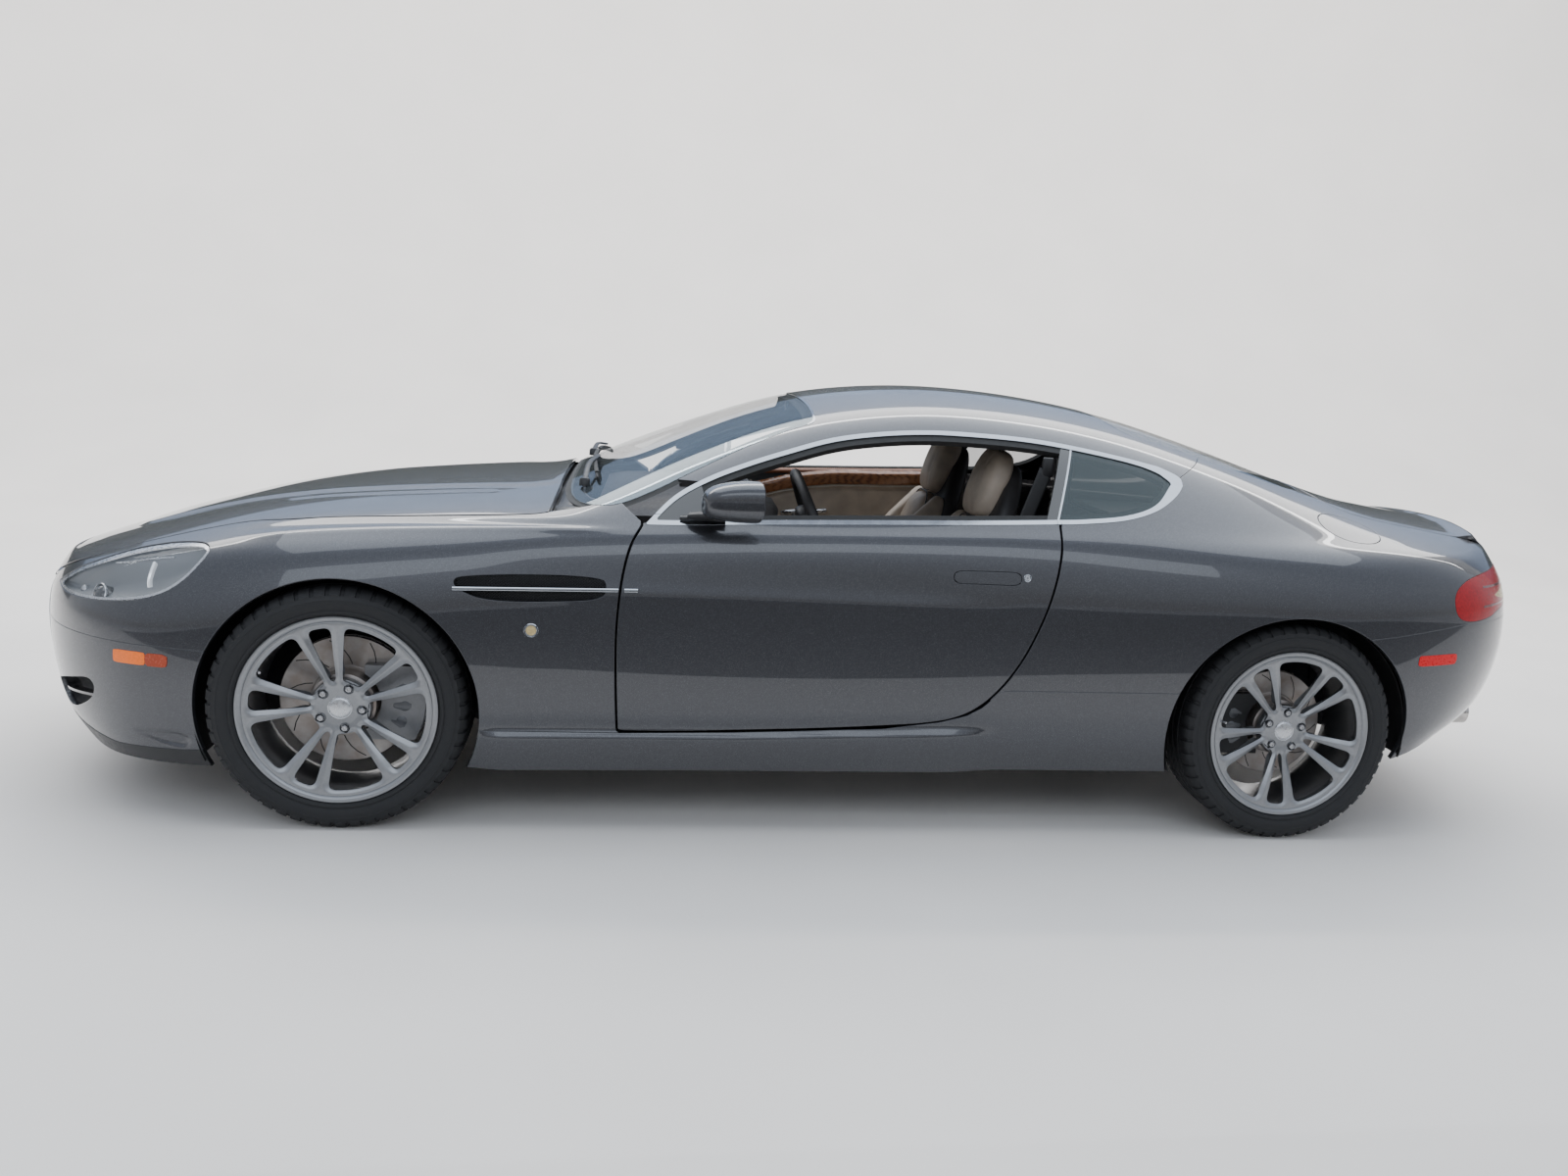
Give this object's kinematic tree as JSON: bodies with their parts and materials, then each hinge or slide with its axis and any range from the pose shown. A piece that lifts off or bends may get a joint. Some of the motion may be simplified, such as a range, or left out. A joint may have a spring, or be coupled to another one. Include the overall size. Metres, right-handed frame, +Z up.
{
  "type": "coupe car",
  "caption": "Two-door fastback coupe with front engine, twin-spoke alloy wheels, opening doors, bonnet, boot lid and fuel flap, and steered front wheels.",
  "frame": {"origin": "on the ground under the middle of the car's length and width, wheels standing on Z = 0", "axes": "+X to the car's rear, +Y to the car's right, +Z up"},
  "size_m": [4.71, 2.0566, 1.284],
  "materials": {
    "body_paint": "dark grey metallic paint under clear lacquer",
    "glass": "clear safety glass",
    "tinted_glass": "tinted safety glass",
    "lamp_clear": "clear moulded lens over dark housing",
    "lamp_red": "red moulded lens",
    "lamp_amber": "amber moulded lens",
    "bright_metal": "polished bright trim",
    "mirror_glass": "silvered mirror glass",
    "alloy": "silver painted alloy, fine texture",
    "tyre_rubber": "black tyre rubber with tread",
    "disc_iron": "machined brake disc with light rust bloom",
    "caliper_paint": "grey painted caliper and upright",
    "black_plastic": "grained black plastic",
    "gloss_black": "gloss black trim",
    "underbody": "dark underseal",
    "chassis_black": "black coated chassis parts",
    "cast_aluminium": "rough cast alloy",
    "engine_iron": "dark cast block",
    "exhaust_steel": "brushed stainless steel",
    "seat_leather": "taupe leather with sewn seams",
    "tan_leather": "tan leather",
    "dark_leather": "black grained leather",
    "wood": "lacquered dark brown wood",
    "carpet": "dark pile carpet",
    "belt_webbing": "black seat belt webbing"
  },
  "bodies": {
    "root": {"centre_console": "wood", "cowl_panel": "black_plastic", "dashboard": "dark_leather", "engine_block": "engine_iron", "exhaust": "exhaust_steel", "floor_pan": "underbody", "front_bumper": "body_paint", "front_fender_left": "body_paint", "front_fender_right": "body_paint", "front_seats": "seat_leather", "front_subframe": "chassis_black", "grille": "bright_metal", "headlamps": "lamp_clear", "parcel_shelf": "carpet", "quarter_glass": "tinted_glass", "quarter_panel_left": "body_paint", "quarter_panel_right": "body_paint", "rear_bumper": "body_paint", "rear_seats": "seat_leather", "rear_subframe": "chassis_black", "rear_window": "glass", "roof_frame": "body_paint", "sills": "body_paint", "tail_lamps": "lamp_red", "transaxle": "cast_aluminium", "windscreen": "glass", "wipers": "black_plastic"},
    "door_left": {"door_left": "body_paint", "door_glass_left": "glass", "mirror_left": "body_paint"},
    "door_right": {"door_right": "body_paint", "door_glass_right": "glass", "mirror_right": "body_paint"},
    "bonnet": {"bonnet": "body_paint"},
    "boot_lid": {"boot_lid": "body_paint"},
    "fuel_flap": {"fuel_flap": "body_paint"},
    "steering_wheel": {"steering_wheel": "dark_leather"},
    "knuckle_left": {"knuckle_left": "caliper_paint"},
    "knuckle_right": {"knuckle_right": "caliper_paint"},
    "wheel_front_left": {"tyre_front_left": "tyre_rubber", "rim_front_left": "alloy", "disc_front_left": "disc_iron"},
    "wheel_front_right": {"tyre_front_right": "tyre_rubber", "rim_front_right": "alloy", "disc_front_right": "disc_iron"},
    "wheel_rear_left": {"tyre_rear_left": "tyre_rubber", "rim_rear_left": "alloy", "disc_rear_left": "disc_iron"},
    "wheel_rear_right": {"tyre_rear_right": "tyre_rubber", "rim_rear_right": "alloy", "disc_rear_right": "disc_iron"}
  },
  "joints": [
    {"name": "door_left_hinge", "type": "hinge", "parent": "root", "child": "door_left", "pos_m": [-0.667, -0.935, 0.3], "axis": [-0.0498, -0.0796, -0.9956], "range_deg": [0, 62]},
    {"name": "door_right_hinge", "type": "hinge", "parent": "root", "child": "door_right", "pos_m": [-0.667, 0.935, 0.3], "axis": [0.0498, -0.0796, 0.9956], "range_deg": [0, 62]},
    {"name": "bonnet_hinge", "type": "hinge", "parent": "root", "child": "bonnet", "pos_m": [-0.844, 0, 0.942], "axis": [0, 1, 0], "range_deg": [0, 50]},
    {"name": "boot_hinge", "type": "hinge", "parent": "root", "child": "boot_lid", "pos_m": [1.501, 0, 1.056], "axis": [0, -1, 0], "range_deg": [0, 62]},
    {"name": "fuel_flap_hinge", "type": "hinge", "parent": "root", "child": "fuel_flap", "pos_m": [1.42504, -0.70555, 0.96533], "axis": [0, -0.9326, -0.361], "range_deg": [0, 75]},
    {"name": "steer_left", "type": "hinge", "parent": "root", "child": "knuckle_left", "pos_m": [-1.419, -0.678, 0.3353], "axis": [0.0691, 0.1388, 0.9879], "range_deg": [-33, 33]},
    {"name": "steer_right", "type": "hinge", "parent": "root", "child": "knuckle_right", "pos_m": [-1.419, 0.678, 0.3353], "axis": [0.0691, -0.1388, 0.9879], "range_deg": [-33, 33]},
    {"name": "steering_wheel_turn", "type": "hinge", "parent": "root", "child": "steering_wheel", "pos_m": [-0.119, -0.385, 0.836], "axis": [0.9272, 0, 0.3746], "range_deg": [-500, 500]},
    {"name": "wheel_front_left_spin", "type": "hinge", "parent": "knuckle_left", "child": "wheel_front_left", "pos_m": [-1.419, -0.784, 0.3353], "axis": [0, 1, 0], "continuous": true},
    {"name": "wheel_front_right_spin", "type": "hinge", "parent": "knuckle_right", "child": "wheel_front_right", "pos_m": [-1.419, 0.784, 0.3353], "axis": [0, 1, 0], "continuous": true},
    {"name": "wheel_rear_left_spin", "type": "hinge", "parent": "root", "child": "wheel_rear_left", "pos_m": [1.321, -0.781, 0.3375], "axis": [0, 1, 0], "continuous": true},
    {"name": "wheel_rear_right_spin", "type": "hinge", "parent": "root", "child": "wheel_rear_right", "pos_m": [1.321, 0.781, 0.3375], "axis": [0, 1, 0], "continuous": true}
  ],
  "couplings": [
    {"joint": "steer_right", "follows": "steer_left", "ratio": 1},
    {"joint": "steering_wheel_turn", "follows": "steer_left", "ratio": 15}
  ]
}
